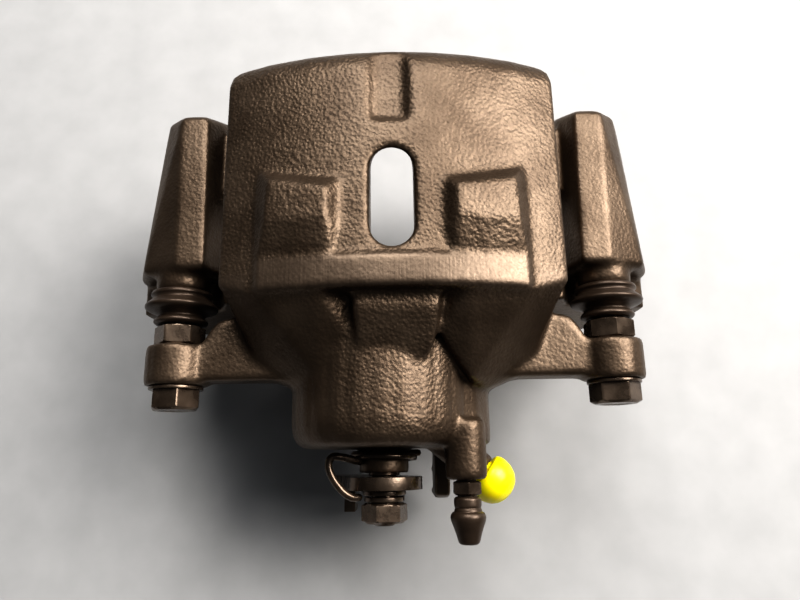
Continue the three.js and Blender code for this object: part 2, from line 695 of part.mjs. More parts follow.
function leverSpringWasher() {
  const coil = ring(4.3, 6.6, -88.7, -87, COARSE)
  return coil.subtract(block(3, 8, -90, -86, -0.5, 0.5))
}

function leverNut() {
  const nut = hexagon(NUT_FLATS, -95.2, -89, 42)
  return nut.subtract(rod(4.3, -97, -87, COARSE))
}

// A torsion spring round the shaft boss, from the cast stop to a hook over the lever's edge.
function returnSpring() {
  const coilR = 9.7
  const coil = helix(coilR, -73.6, -76, -Math.PI / 2, -1.35, 14)
  const fixedLeg = [[11.2, -73.5, -coilR - 0.1], [6, -73.5, -coilR - 0.05]]
  const hook = [
    [-13.4, -74.7, 9.4], [-15.6, -74.6, 9.8], [-16.8, -75.8, 10], [-16.9, -78, 10],
    [-15.9, -80.6, 9.8], [-14.2, -83.2, 9.4], [-12, -85.6, 8.8], [-9.8, -86.9, 7.8], [-7.9, -87, 6.6],
  ]
  return wire([...fixedLeg, ...coil, ...hook], 1.2, 64, 3)
}

// ---- bleed screw, its cap and the hose port's plug ----
function bleedScrew() {
  const body = turned([
    [0, -98.2], [2.6, -98.2], [3.3, -97.2], [2.5, -95.6], [2.5, -91], [3, -90], [3, -81], [3.3, -80.4],
    [3.3, -69], [1, -66.6], [0, -66.6],
  ], COARSE)
  return body.add(hexagon(8, -86.4, -82.3))
}

function bleedCap() {
  return turned([
    [0, -100.4], [2.4, -100.4], [3.2, -99.8], [4.1, -96.8], [5.2, -93.6], [5.3, -92.4], [4.9, -91.4],
    [4.1, -91.1], [4.1, -90.4], [3.8, -90], [4.1, -89.5], [4.1, -87.2], [3.5, -86.8], [3.3, -86.8],
    [3.3, -91], [3.6, -92], [3.6, -98.4], [0, -98.8],
  ])
}

function portPlug() {
  return turned([
    [0, -9], [3.8, -9], [4.3, -8], [4.3, GAP], [6.8, GAP], [7.5, 1.6], [7.7, 3.4], [7.3, 5.8],
    [6.2, 8.2], [4.4, 9.9], [2.3, 10.8], [0, 11.1],
  ])
}

// ---- the assembly ----
const group = new THREE.Group()
group.position.set(0, -KNUCKLE_FACE_Y, -LUG_Z)

const bracketGroup = new THREE.Group()
bracketGroup.add(piece('mounting_bracket', mountingBracket(), paint))
group.add(bracketGroup)

const caliper = new THREE.Group()
caliper.add(piece('caliper_body', caliperBody(), paint))
for (const [side, label] of [[-1, 'left'], [1, 'right']]) {
  const x = PIN_X * side
  caliper.add(piece(`slide_pin_${label}`, slidePin(side < 0, PIN_TURN[label]), darkSteel, x, PIN_Z))
  caliper.add(piece(`pin_bolt_${label}`, pinBolt(BOLT_TURN[label]), darkSteel, x, PIN_Z))
  caliper.add(piece(`pin_boot_${label}`, pinBoot(), rubber, x, PIN_Z))
}
caliper.add(piece('pin_bush', pinBush(), rubber, -PIN_X, PIN_Z))
caliper.add(piece('piston_seal', pistonSeal(), rubber, BORE_X))
caliper.add(piece('piston_boot', pistonBoot(), rubber, BORE_X))
caliper.add(piece('boot_retaining_ring', bootRetainingRing(), steel, BORE_X))
caliper.add(piece('shaft_bush', shaftBush(), bronze, BORE_X))
caliper.add(piece('shaft_seal', shaftSeal(), rubber, BORE_X))
caliper.add(piece('spring_cup', springCup(), steel, BORE_X))
caliper.add(piece('cup_circlip', cupCirclip(), steel, BORE_X))
caliper.add(piece('adjuster_spring', adjusterSpring(), steel, BORE_X))
caliper.add(piece('return_spring', returnSpring(), darkSteel, BORE_X))
ANTI_TURN_ANGLES.forEach((angle, i) => {
  const [x, z] = antiTurnPlace(angle)
  caliper.add(piece(`anti_turn_pin_${i + 1}`, antiTurnPin(), steel, x, z))
})
group.add(caliper)

const pistonGroup = new THREE.Group()
pistonGroup.position.x = BORE_X
pistonGroup.add(piece('piston', piston(), steel))
pistonGroup.add(piece('adjuster_nut', adjusterNut(), steel))
pistonGroup.add(piece('adjuster_bearing', adjusterBearing(), steel))
pistonGroup.add(piece('clutch_spring', clutchSpring(), steel))
pistonGroup.add(piece('piston_circlip', pistonCirclip(), steel))
caliper.add(pistonGroup)

const actuator = new THREE.Group()
actuator.position.x = BORE_X
actuator.add(piece('push_rod', pushRod(), steel))
actuator.add(piece('ball_cage', ballCage(), bronze))
BALL_ANGLES.forEach((angle, i) => actuator.add(piece(`ramp_ball_${i + 1}`, rampBall(angle), steel)))
actuator.add(piece('lever_shaft', leverShaft(), steel))
actuator.add(piece('parking_lever', parkingLever(), darkSteel))
actuator.add(piece('lever_washer', leverWasher(), darkSteel))
actuator.add(piece('lever_spring_washer', leverSpringWasher(), darkSteel))
actuator.add(piece('lever_nut', leverNut(), darkSteel))
caliper.add(actuator)

caliper.add(piece('bleed_screw', bleedScrew(), darkSteel, BLEED_X, BLEED_Z))
caliper.add(piece('bleed_cap', bleedCap(), rubber, BLEED_X, BLEED_Z))

const port = new THREE.Group()
port.position.copy(PORT_FACE)
port.rotation.z = PORT_TURN
port.add(piece('port_plug', portPlug(), yellow))
caliper.add(port)

export default group
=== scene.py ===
import json
import math

import bmesh
import bpy
import numpy as np
from mathutils import Matrix, Quaternion, Vector, noise


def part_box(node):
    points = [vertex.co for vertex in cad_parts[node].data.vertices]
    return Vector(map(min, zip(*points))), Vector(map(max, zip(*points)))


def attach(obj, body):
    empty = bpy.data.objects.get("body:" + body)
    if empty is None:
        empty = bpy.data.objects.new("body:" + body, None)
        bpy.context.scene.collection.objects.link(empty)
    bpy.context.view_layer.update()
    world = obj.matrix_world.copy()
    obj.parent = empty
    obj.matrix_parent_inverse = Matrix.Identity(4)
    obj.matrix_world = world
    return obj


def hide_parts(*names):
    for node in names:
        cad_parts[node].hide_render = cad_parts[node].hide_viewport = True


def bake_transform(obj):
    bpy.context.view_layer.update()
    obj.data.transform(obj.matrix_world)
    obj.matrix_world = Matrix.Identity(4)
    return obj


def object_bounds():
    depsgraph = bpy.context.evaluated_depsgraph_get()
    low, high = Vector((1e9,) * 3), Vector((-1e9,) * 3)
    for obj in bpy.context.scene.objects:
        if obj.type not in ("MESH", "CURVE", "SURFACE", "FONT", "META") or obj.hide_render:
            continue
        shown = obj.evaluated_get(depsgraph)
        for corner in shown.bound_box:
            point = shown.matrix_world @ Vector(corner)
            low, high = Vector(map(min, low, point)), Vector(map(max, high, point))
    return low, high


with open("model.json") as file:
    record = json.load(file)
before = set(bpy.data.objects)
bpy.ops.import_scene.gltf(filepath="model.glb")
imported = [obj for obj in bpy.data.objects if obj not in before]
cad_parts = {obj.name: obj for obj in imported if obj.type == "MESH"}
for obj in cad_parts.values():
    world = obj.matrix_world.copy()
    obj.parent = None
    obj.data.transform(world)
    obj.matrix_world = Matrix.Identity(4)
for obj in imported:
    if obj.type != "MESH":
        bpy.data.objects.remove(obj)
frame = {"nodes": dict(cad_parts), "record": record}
cad_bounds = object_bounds()
record = frame["record"]

MM = 0.001
TAU = 2 * math.pi
SHARP_DEG = 40                       # edges that bend more than this are shaded as edges
SAME_PLACE = 1e-6                    # profile points closer than this, in mm, are one point
CORNER_SHARE = 0.45                  # the most of a side that one rounded corner takes
VOXEL_MM = 0.9    # voxels that the castings are remeshed with
ALL_Y = (-1.0, 1.0)                  # start and end, in metres, of a round that runs the whole length
SIDES = ("left", "right")

BODY_OF = {node: body for body, nodes in record["behaviour"]["bodies"].items() for node in nodes}
SLOT_OF = {entry["node"]: entry["material_slot"] for entry in record["subparts"]}
MOUNTS = {mount["name"]: mount for mount in record["mounts"]}
JOINT = {joint["name"]: joint for joint in record["behaviour"]["joints"]}


def low(node):
    """The smallest x, y and z of a CAD node's box."""
    return Vector(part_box(node)[0])


def high(node):
    """The largest x, y and z of a CAD node's box."""
    return Vector(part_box(node)[1])


def middle(node):
    return (low(node) + high(node)) / 2


# ---- places taken from the frame ----
BORE = middle("piston")
CREST_Y = low("slide_pin_left").y + 10.9 * MM       # inboard edge of the bridge
DISC_Y = CREST_Y + 28 * MM                          # middle plane of the disc
WHEEL_Z = BORE.z - 98 * MM                          # axis of the wheel, below the bore

# ---- radii of the castings' round faces, in mm ----
BRIDGE_R = 138                       # about the wheel's axis, as are the next four
PAD_TOP_R = 142.4
SHELF_R = 139.4
BRIDGE_INNER_R = 124
DISC_SLOT_R = 121
CYLINDER_R = 30.2                    # about the bore's axis, as are the next five
BORE_R = 24
CUP_BORE_R = 19.5
BOOT_SEAT_R = 28
SHAFT_BOSS_R = 8
SHAFT_HOLE_R = 6.8
EAR_R = 10
NECK_R = 8.5
BLEED_BOSS_R = 6.3
LUG_R = 12

# ---- pins, lever and balls, in mm, degrees or radians ----
PIN_FLATS = 14                       # mm across the hexagons of the pins and their bolts
BOLT_TURN = {"left": 22, "right": 13}    # degrees that each hexagon is turned
PIN_TURN = {"left": -17, "right": 0}
NUT_FLATS = 13
NUT_TURN = 42
LEVER_REST = math.radians(-20)       # the lever's angle from straight down
LEVER_REACH = 40                     # mm from the shaft to the cable's end
LEVER_HUB_R = 12.3
LEVER_TIP_R = 6.5
LEVER_THICK = 4
BALLS = ("ramp_ball_1", "ramp_ball_2", "ramp_ball_3")
BALL_R = 2.5
GROOVE_R = 2.95
BALL_TRAVEL = math.radians(13)
GROOVE_MARGIN = math.radians(20)     # what a groove runs on beyond the ball's travel, at each end


# ---- materials ----
# Sockets of Blender's Mix node when it mixes colours.
MIX_FACTOR = 0
MIX_A = 6
MIX_B = 7
MIX_RESULT = 2


class Nodes:
    """A small builder for one material's node tree."""

    def __init__(self, name):
        self.material = bpy.data.materials.new(name)
        self.material.use_nodes = True
        self.tree = self.material.node_tree
        self.tree.nodes.clear()
        self.output = self.add("ShaderNodeOutputMaterial")
        self.shader = self.add("ShaderNodeBsdfPrincipled")
        self.link(self.shader.outputs["BSDF"], self.output.inputs["Surface"])
        self.place = self.add("ShaderNodeTexCoord").outputs["Object"]

    def add(self, kind, **settings):
        node = self.tree.nodes.new(kind)
        for key, value in settings.items():
            setattr(node, key, value)
        return node

    def link(self, source, target):
        self.tree.links.new(source, target)

    def noise(self, scale, detail=2.0, rough=0.5, stretch=None):
        """Cloudy noise, with its scale in lumps per metre."""
        node = self.add("ShaderNodeTexNoise")
        node.inputs["Scale"].default_value = scale
        node.inputs["Detail"].default_value = detail
        node.inputs["Roughness"].default_value = rough
        self.link(self.stretched(stretch), node.inputs["Vector"])
        return node.outputs["Fac"]

    def cells(self, scale, smooth):
        """Rounded cells, like the pebbled skin of a sand casting."""
        node = self.add("ShaderNodeTexVoronoi", feature="SMOOTH_F1")
        node.inputs["Scale"].default_value = scale
        node.inputs["Smoothness"].default_value = smooth
        self.link(self.place, node.inputs["Vector"])
        return node.outputs["Distance"]

    def stretched(self, stretch):
        """The place on the piece, scaled along each axis where a stretch is given."""
        if stretch is None:
            return self.place
        mapping = self.add("ShaderNodeMapping")
        mapping.inputs["Scale"].default_value = stretch
        self.link(self.place, mapping.inputs["Vector"])
        return mapping.outputs["Vector"]

    def ramp(self, value, start, end, colour_a, colour_b):
        """Goes from one colour to the other as the value goes from start to end."""
        node = self.add("ShaderNodeMapRange", data_type="FLOAT")
        node.inputs["From Min"].default_value = start
        node.inputs["From Max"].default_value = end
        self.link(value, node.inputs["Value"])
        return self.mix(node.outputs["Result"], colour_a, colour_b)

    def mix(self, factor, a, b):
        node = self.add("ShaderNodeMix", data_type="RGBA")
        self.feed(factor, node.inputs[MIX_FACTOR])
        self.feed(a, node.inputs[MIX_A])
        self.feed(b, node.inputs[MIX_B])
        return node.outputs[MIX_RESULT]

    def feed(self, value, target):
        """Links a socket, or sets a colour or a number."""
        if isinstance(value, bpy.types.NodeSocket):
            self.link(value, target)
        elif isinstance(value, tuple) and len(value) == 3:
            target.default_value = (*value, 1.0)
        else:
            target.default_value = value

    def span(self, value, start, end, low_value, high_value):
        """Goes from the low to the high value as the value goes from start to end."""
        node = self.add("ShaderNodeMapRange")
        limits = {"From Min": start, "From Max": end, "To Min": low_value, "To Max": high_value}
        for key, number in limits.items():
            self.feed(number, node.inputs[key])
        self.feed(value, node.inputs["Value"])
        return node.outputs["Result"]

    def times(self, a, b):
        return self.calculate("MULTIPLY", a, b)

    def calculate(self, operation, a, b):
        node = self.add("ShaderNodeMath", operation=operation)
        self.feed(a, node.inputs[0])
        self.feed(b, node.inputs[1])
        return node.outputs[0]

    def bump(self, height, distance_mm, strength, under=None):
        """A raised texture, on top of another one where that is given."""
        node = self.add("ShaderNodeBump")
        node.inputs["Distance"].default_value = distance_mm * MM
        self.feed(strength, node.inputs["Strength"])
        self.link(height, node.inputs["Height"])
        if under is not None:
            self.link(under, node.inputs["Normal"])
        return node.outputs["Normal"]

    def mask(self, name):
        """A value from 0 to 1 that the mesh carries at each point."""
        node = self.add("ShaderNodeAttribute", attribute_name=name)
        return node.outputs["Fac"]

    def set(self, **inputs):
        """Sets the shader's inputs by name, with _ for a space, and gives the material."""
        for key, value in inputs.items():
            self.feed(value, self.shader.inputs[key.replace("_", " ")])
        return self.material


def cast_paint(name):
    """Satin black paint over a sand-cast skin, worn to a brushed surface where it was ground."""
    n = Nodes(name)
    dark = (0.088, 0.062, 0.042)
    light = (0.135, 0.099, 0.07)
    bare = (0.22, 0.175, 0.14)
    ground = n.mask("ground")
    smooth = n.mask("smooth")
    pebble = n.cells(scale=900, smooth=0.8)
    grain = n.noise(scale=1500, detail=3.0, rough=0.6)
    broad = n.noise(scale=70, detail=3.0)
    height = n.calculate("ADD", pebble, n.times(grain, 0.6))
    calm = n.calculate("MAXIMUM", n.times(ground, 0.8), n.times(smooth, 0.55))
    cast = n.bump(height, distance_mm=0.36, strength=n.span(calm, 0, 1, 0.6, 0.06))
    streaks = n.noise(scale=1100, detail=2.0, rough=0.5, stretch=(1.0, 0.02, 1.0))
    brushed = n.bump(streaks, distance_mm=0.12, strength=n.span(ground, 0, 1, 0.0, 0.55), under=cast)
    colour = n.ramp(broad, 0.35, 0.68, dark, light)
    worn = n.mix(n.times(ground, 0.2), colour, bare)
    return n.set(
        Base_Color=worn,
        Metallic=0.78,
        Roughness=n.span(grain, 0.3, 0.7, 0.36, 0.5),
        Normal=brushed,
        Coat_Weight=0.1,
        Coat_Roughness=0.35,
    )


def smooth_paint(name):
    """The same paint on machined steel, glossier than on the castings."""
    n = Nodes(name)
    dark = (0.085, 0.062, 0.045)
    light = (0.17, 0.13, 0.098)
    grain = n.noise(scale=1300)
    broad = n.noise(scale=160, detail=3.0)
    colour = n.ramp(broad, 0.35, 0.7, dark, light)
    return n.set(
        Base_Color=colour,
        Metallic=0.78,
        Roughness=n.span(broad, 0.3, 0.7, 0.22, 0.34),
        Normal=n.bump(grain, distance_mm=0.1, strength=0.45),
        Coat_Weight=0.15,
        Coat_Roughness=0.25,
    )


def soft_rubber(name):
    """Rubber with a thin overspray of the same paint on its outside."""
    n = Nodes(name)
    dark = (0.05, 0.034, 0.024)
    light = (0.085, 0.06, 0.042)
    grain = n.noise(scale=1500, detail=3.0)
    broad = n.noise(scale=120, detail=3.0)
    colour = n.ramp(broad, 0.3, 0.75, dark, light)
    return n.set(
        Base_Color=colour,
        Metallic=0.6,
        Roughness=n.span(grain, 0.3, 0.7, 0.34, 0.46),
        Normal=n.bump(grain, distance_mm=0.06, strength=0.5),
        Coat_Weight=0.1,
        Coat_Roughness=0.4,
    )


def turned_steel(name, dark, light, roughness):
    """Bare metal with the fine rings that a lathe leaves about the Y axis."""
    n = Nodes(name)
    rings = n.noise(scale=1500, detail=2.0, rough=0.5, stretch=(0.06, 1.0, 0.06))
    broad = n.noise(scale=200, detail=3.0)
    colour = n.ramp(broad, 0.3, 0.7, dark, light)
    return n.set(
        Base_Color=colour,
        Metallic=1.0,
        Roughness=n.span(rings, 0.3, 0.7, roughness - 0.06, roughness + 0.1),
        Normal=n.bump(rings, distance_mm=0.04, strength=0.4),
    )


def moulded_plastic(name):
    """Bright yellow plastic that lets a little light in."""
    n = Nodes(name)
    dark = (0.95, 0.8, 0.0)
    light = (1.0, 0.92, 0.005)
    grain = n.noise(scale=900, detail=3.0)
    broad = n.noise(scale=110)
    colour = n.ramp(broad, 0.3, 0.7, dark, light)
    return n.set(
        Base_Color=colour,
        Roughness=n.span(grain, 0.3, 0.7, 0.3, 0.42),
        Normal=n.bump(grain, distance_mm=0.05, strength=0.35),
        Subsurface_Weight=0.2,
        Subsurface_Scale=0.002,
    )


MATERIAL = {
    "cast_paint": cast_paint("cast paint"),
    "dark_steel": smooth_paint("painted steel"),
    "plated_steel": turned_steel("zinc plated steel", (0.42, 0.39, 0.33), (0.6, 0.57, 0.5), 0.32),
    "spring_steel": turned_steel("spring steel", (0.16, 0.16, 0.165), (0.3, 0.3, 0.31), 0.28),
    "ball_steel": turned_steel("polished ball", (0.6, 0.6, 0.62), (0.72, 0.72, 0.74), 0.12),
    "bronze": turned_steel("sintered bronze", (0.35, 0.2, 0.085), (0.52, 0.33, 0.15), 0.4),
    "rubber": soft_rubber("rubber"),
    "yellow_plastic": moulded_plastic("yellow plastic"),
}


# ---- mesh helpers ----
def new_piece(name, mesh, node):
    """One visible piece that stands for a CAD node, with that node's finish."""
    piece = bpy.data.objects.new(name, mesh)
    bpy.context.scene.collection.objects.link(piece)
    mesh.materials.clear()
    mesh.materials.append(MATERIAL[SLOT_OF[node]])
    mesh.polygons.foreach_set("use_smooth", [True] * len(mesh.polygons))
    mesh.set_sharp_from_angle(angle=math.radians(SHARP_DEG))
    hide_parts(node)
    return piece


def riding(piece, node):
    """The piece, set to move with its CAD node's body."""
    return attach(piece, BODY_OF[node])


def applied(piece):
    """The piece with its modifiers applied to its mesh."""
    graph = bpy.context.evaluated_depsgraph_get()
    mesh = bpy.data.meshes.new_from_object(piece.evaluated_get(graph))
    piece.modifiers.clear()
    old = piece.data
    piece.data = mesh
    bpy.data.meshes.remove(old)
    return piece


def rounded(profile, radius=0.3, steps=4):
    """The profile with its corners turned to short curves."""
    result = [profile[0]]
    for before, corner, after in zip(profile, profile[1:], profile[2:]):
        a, b, c = (Vector(p[:2]) for p in (before, corner, after))
        into, out = b - a, c - b
        start = b - into.normalized() * min(radius, into.length * CORNER_SHARE)
        end = b + out.normalized() * min(radius, out.length * CORNER_SHARE)
        for i in range(steps + 1):
            t = i / steps
            bent = start * (1 - t) ** 2 + b * 2 * t * (1 - t) + end * t ** 2
            result.append((bent.x, bent.y, *corner[2:]))
    result.append(profile[-1])
    return result


def curve(p0, p1, p2, p3, t):
    """A place on the Catmull-Rom curve from p1 to p2."""
    square = 2 * p0 - 5 * p1 + 4 * p2 - p3
    cube = 3 * p1 - p0 - 3 * p2 + p3
    return 0.5 * (2 * p1 + (p2 - p0) * t + square * t * t + cube * t ** 3)


def flowing(profile, steps=6):
    """A smooth closed curve through the profile's points, for rubber."""
    points = [Vector(p) for p in profile]
    count = len(points)
    result = []
    for i in range(count):
        p0, p1, p2, p3 = (points[(i + k) % count] for k in (-1, 0, 1, 2))
        for s in range(steps):
            bent = curve(p0, p1, p2, p3, s / steps)
            result.append((bent.x, bent.y))
    return result + result[:1]


def hexagon_radius(flats, turn_deg, angle):
    """How far a hexagon's side is from its middle at an angle."""
    return flats / 2 / math.cos((angle - math.radians(turn_deg)) % (TAU / 6) - TAU / 12)


def revolved(profile, origin, axis=Vector((0, 1, 0)), segments=72):
    """A mesh turned round an axis through the origin.

    The profile's points are (r, y) or, on a hexagon, (r, y, flats, turn), in mm and degrees.
    """
    closed = math.dist(profile[0][:2], profile[-1][:2]) < SAME_PLACE
    outline = profile[:-1] if closed else profile
    up = Vector((0, 0, 1))
    across = axis.cross(up).normalized()
    bm = bmesh.new()
    rows = []
    for radius, along, *flats in outline:
        centre = origin + axis * along * MM
        if radius < SAME_PLACE:
            rows.append([bm.verts.new(centre)] * segments)
            continue
        row = []
        for i in range(segments):
            angle = TAU * i / segments
            reach = min(radius, hexagon_radius(*flats, angle)) if flats else radius
            spoke = across * math.sin(angle) + up * math.cos(angle)
            row.append(bm.verts.new(centre + spoke * reach * MM))
        rows.append(row)
    following = rows[1:] + rows[:1] if closed else rows[1:]
    for a, b in zip(rows, following):
        for i in range(segments):
            j = (i + 1) % segments
            corners = list(dict.fromkeys((a[i], a[j], b[j], b[i])))
            if len(corners) > 2:
                bm.faces.new(corners)
    return finished(bm)


def finished(bm):
    """The mesh of a bmesh, with its faces turned outwards."""
    bmesh.ops.recalc_face_normals(bm, faces=bm.faces)
    mesh = bpy.data.meshes.new("shape")
    bm.to_mesh(mesh)
    bm.free()
    return mesh


def turned(node, profile, segments=72):
    """A turned piece along +Y. The profile's y starts at the node's inboard end."""
    centre = middle(node)
    origin = Vector((centre.x, low(node).y, centre.z))
    return new_piece(f"{node}_turned", revolved(profile, origin, segments=segments), node)


def with_flats(profile, flats, turn_deg):
    """The profile, cut to a hexagon."""
    return [(r, y, flats, turn_deg) for r, y in profile]


def ring_section(inner, outer, length):
    """The section of a plain ring, in mm, from the middle of its inner wall and back to there."""
    half = length / 2
    return [(inner, half), (inner, 0), (outer, 0), (outer, length), (inner, length), (inner, half)]


def bar(node, profile, radius=0.25, segments=72):
    """A turned piece with rounded corners."""
    return riding(turned(node, rounded(profile, radius), segments), node)


def sleeve(node, inner, outer, length, radius=0.2, segments=72):
    """A plain ring or tube."""
    return bar(node, ring_section(inner, outer, length), radius, segments)


def split_ring(node, inner, outer, thick, gap_deg, gap_at_deg, rise=0.0, segments=64):
    """A sprung ring with a gap, such as a circlip. Its two ends are rise apart along the axis."""
    centre = middle(node)
    base = low(node).y / MM
    section = rounded(ring_section(inner, outer, thick), 0.18)
    start = math.radians(gap_at_deg + gap_deg / 2)
    sweep = TAU - math.radians(gap_deg)
    bm = bmesh.new()
    rows = []
    for i in range(segments + 1):
        angle = start + sweep * i / segments
        lift = rise * i / segments
        rows.append([
            bm.verts.new(((centre.x / MM + r * math.cos(angle)) * MM, (base + lift + y) * MM,
                          (centre.z / MM + r * math.sin(angle)) * MM))
            for r, y in section[:-1]
        ])
    count = len(rows[0])
    for a, b in zip(rows, rows[1:]):
        for i in range(count):
            j = (i + 1) % count
            bm.faces.new((a[i], a[j], b[j], b[i]))
    bm.faces.new(rows[0])
    bm.faces.new(rows[-1])
    return riding(new_piece(f"{node}_ring", finished(bm), node), node)


def swept(points, radius):
    """A mesh of a round bar along points in metres, with domed ends."""
    bm = bmesh.new()
    sides = 16
    rows = []
    reference = None
    path = [Vector(p) for p in points]
    dome = [(0.97, 0.25), (0.8, 0.6), (0.5, 0.87)]      # (along, across) from the tip back, in radii
    stations = [(path[0], -along * radius, scale) for along, scale in dome]
    stations += [(p, 0.0, 1.0) for p in path]
    stations += [(path[-1], along * radius, scale) for along, scale in reversed(dome)]
    for i, (point, shift, scale) in enumerate(stations):
        k = min(max(i - len(dome), 0), len(path) - 1)
        ahead = (path[min(k + 1, len(path) - 1)] - path[max(k - 1, 0)]).normalized()
        if reference is None:
            reference = ahead.orthogonal().normalized()
        reference = (reference - ahead * reference.dot(ahead)).normalized()
        side = ahead.cross(reference)
        centre = point + ahead * shift
        row = []
        for s in range(sides):
            angle = TAU * s / sides
            spoke = reference * math.cos(angle) + side * math.sin(angle)
            row.append(bm.verts.new(centre + spoke * radius * scale))
        rows.append(row)
    for a, b in zip(rows, rows[1:]):
        for s in range(sides):
            bm.faces.new((a[s], a[(s + 1) % sides], b[(s + 1) % sides], b[s]))
    bm.faces.new(rows[0])
    bm.faces.new(rows[-1])
    return finished(bm)


def wire(node, points, radius):
    """One piece of round wire along points in metres."""
    return new_piece(f"{node}_wire", swept(points, radius), node)


def smooth_path(points, steps):
    """Points along a smooth open curve through the given ones."""
    p = [Vector(q) for q in points]
    result = []
    for i in range(len(p) - 1):
        around = p[max(i - 1, 0)], p[i], p[i + 1], p[min(i + 2, len(p) - 1)]
        for s in range(steps):
            result.append(curve(*around, s / steps))
    return result + [p[-1]]


def arc(start, end, steps):
    """Evenly spaced angles from start to end."""
    return [start + (end - start) * i / steps for i in range(steps + 1)]


def boxed(size_mm, place, turn=0.0):
    """A box about a place in metres, turned about +Y."""
    bm = bmesh.new()
    bmesh.ops.create_cube(bm, size=MM)
    bmesh.ops.scale(bm, verts=bm.verts, vec=size_mm)
    bmesh.ops.rotate(bm, verts=bm.verts, cent=(0, 0, 0), matrix=Matrix.Rotation(turn, 3, "Y"))
    bmesh.ops.translate(bm, verts=bm.verts, vec=place)
    return finished(bm)


def post(radius, length, centre):
    """A cylinder along +Y about a place in metres. Its radius and length are in mm."""
    half = length / 2
    return revolved([(0, -half), (radius, -half), (radius, half), (0, half)], centre, segments=48)


def cut_by(piece, mesh, operation="DIFFERENCE"):
    """Cuts a mesh out of the piece, or joins it on with UNION."""
    cutter = bpy.data.objects.new("cutter", mesh)
    bpy.context.scene.collection.objects.link(cutter)
    boolean = piece.modifiers.new("cut", "BOOLEAN")
    boolean.operation = operation
    boolean.solver = "EXACT"
    boolean.object = cutter
    applied(piece)
    bpy.data.objects.remove(cutter)
    bpy.data.meshes.remove(mesh)
    piece.data.set_sharp_from_angle(angle=math.radians(SHARP_DEG))


# ---- castings ----
# A casting is its CAD node remeshed, with its edges rounded and its machined faces kept true.
SETTLE_PASSES = 2                    # relaxing before the round faces are made true
CUT_HOLD = 0.9                       # how much a machined face resists the relaxing after that
ROUND_TOLERANCE = 0.0016             # a point this near a round face, as a share of its radius,
ROUND_SLACK = 0.12 * MM              # plus this much, is put on it
ROUND_FACING = 0.94                  # cosine of the most that such a point may face away from it
LUMPS_PER_M = 420
LUMP_HEIGHT = 0.035 * MM
BORE_FADE = 1.2 * MM                 # how far a machined finish fades beside its bore
END_FADE = 1 * MM                    # and beyond its ends


def point_values(mesh, name):
    flat = np.empty(len(mesh.vertices) * 3)
    mesh.vertices.foreach_get(name, flat)
    return flat.reshape(-1, 3)


def positions(mesh):
    return point_values(mesh, "co")


def normals_of(mesh):
    return point_values(mesh, "normal")


def place(mesh, points):
    """Moves the mesh's points."""
    mesh.vertices.foreach_set("co", points.ravel())
    mesh.update()


def relax(mesh, passes, weight, strength=0.5):
    """Moves each point towards the mean of its neighbours, to round a casting's edges."""
    points = positions(mesh)
    edges = np.empty(len(mesh.edges) * 2, dtype=np.int64)
    mesh.edges.foreach_get("vertices", edges)
    a, b = edges.reshape(-1, 2).T
    size = len(points)
    count = np.bincount(a, minlength=size) + np.bincount(b, minlength=size)
    amount = (strength * weight)[:, None]
    for _ in range(passes):
        total = np.stack([
            np.bincount(a, points[b, k], size) + np.bincount(b, points[a, k], size)
            for k in range(3)
        ], axis=1)
        points = points + amount * (total / count[:, None] - points)
    place(mesh, points)


def true_up(mesh, rounds):
    """Puts points that are almost on a round face exactly on it. A round is (x, z, radius, y0, y1)."""
    points = positions(mesh)
    normals = normals_of(mesh)
    for x, z, radius, y0, y1 in rounds:
        out = points[:, [0, 2]] - np.array([x, z])
        distance = np.linalg.norm(out, axis=1)
        out /= np.maximum(distance, 1e-9)[:, None]
        facing = np.abs((out * normals[:, [0, 2]]).sum(axis=1))
        reach = ROUND_TOLERANCE * radius + ROUND_SLACK
        near = (np.abs(distance - radius) < reach) & (facing > ROUND_FACING)
        near &= (points[:, 1] > y0) & (points[:, 1] < y1)
        points[near, 0] = x + out[near, 0] * radius
        points[near, 2] = z + out[near, 1] * radius
    place(mesh, points)


def lump(point):
    """Coarse noise with half as much of a finer one."""
    at = Vector(point) * LUMPS_PER_M
    return noise.noise(at) + 0.5 * noise.noise(at * 2.1)


def roughen(mesh, weight):
    """A cast skin: small lumps along the normals."""
    points = positions(mesh)
    lumps = np.array([lump(point) for point in points])
    place(mesh, points + normals_of(mesh) * (lumps * LUMP_HEIGHT * weight)[:, None])


def paint_mask(mesh, name, values):
    """Stores one value per point, for the material to read."""
    layer = mesh.attributes.new(name, "FLOAT", "POINT")
    layer.data.foreach_set("value", values.astype(np.float32))


def soft_step(values, start, end):
    """Goes smoothly from 0 at the start to 1 at the end."""
    t = np.clip((values - start) / (end - start), 0, 1)
    return t * t * (3 - 2 * t)


def soft_band(values, start, full, fade, end):
    """Rises from 0 to 1 between start and full, and falls back between fade and end."""
    return soft_step(values, start, full) * (1 - soft_step(values, fade, end))


def near_bores(points, bores):
    """1 beside a machined bore or face, 0 away from all of them. A bore is (x, z, radius, y0, y1)."""
    result = np.zeros(len(points))
    for x, z, radius, y0, y1 in bores:
        distance = np.hypot(points[:, 0] - x, points[:, 2] - z)
        beside = 1 - soft_step(distance, radius, radius + BORE_FADE)
        inside = soft_band(points[:, 1], y0 - END_FADE, y0, y1, y1 + END_FADE)
        result = np.maximum(result, beside * inside)
    return result


